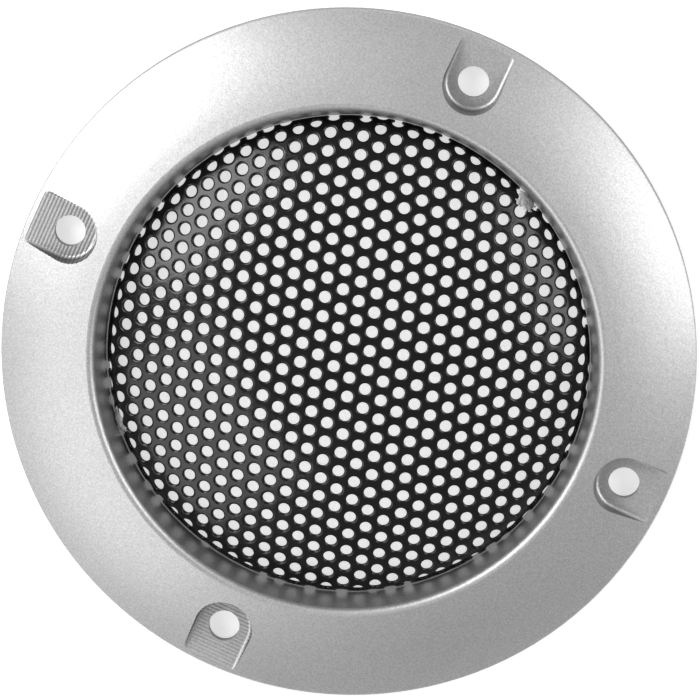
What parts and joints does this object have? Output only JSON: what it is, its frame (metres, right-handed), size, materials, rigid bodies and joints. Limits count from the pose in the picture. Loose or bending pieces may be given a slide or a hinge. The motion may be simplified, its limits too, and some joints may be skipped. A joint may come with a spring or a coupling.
{
  "type": "loudspeaker grille",
  "caption": "Round loudspeaker grille: a satin silver moulded trim ring with open screw pockets around a domed black perforated sheet, glued into its bore.",
  "frame": {"origin": "centre of the ring's flat back face", "axes": "+Z along the ring's axis towards the front of the grille, +X and +Y through screw holes"},
  "size_m": [0.108, 0.108, 0.0106],
  "materials": {
    "silver_paint": "satin silver paint with a fine metallic grain, over moulded ABS",
    "black_mesh": "satin black powder coat on perforated steel",
    "clear_glue": "cloudy clear hot-melt glue"
  },
  "bodies": {
    "root": {"trim_ring": "silver_paint", "mesh_dome": "black_mesh", "glue_dab_right": "clear_glue", "glue_dab_left": "clear_glue"}
  },
  "joints": []
}
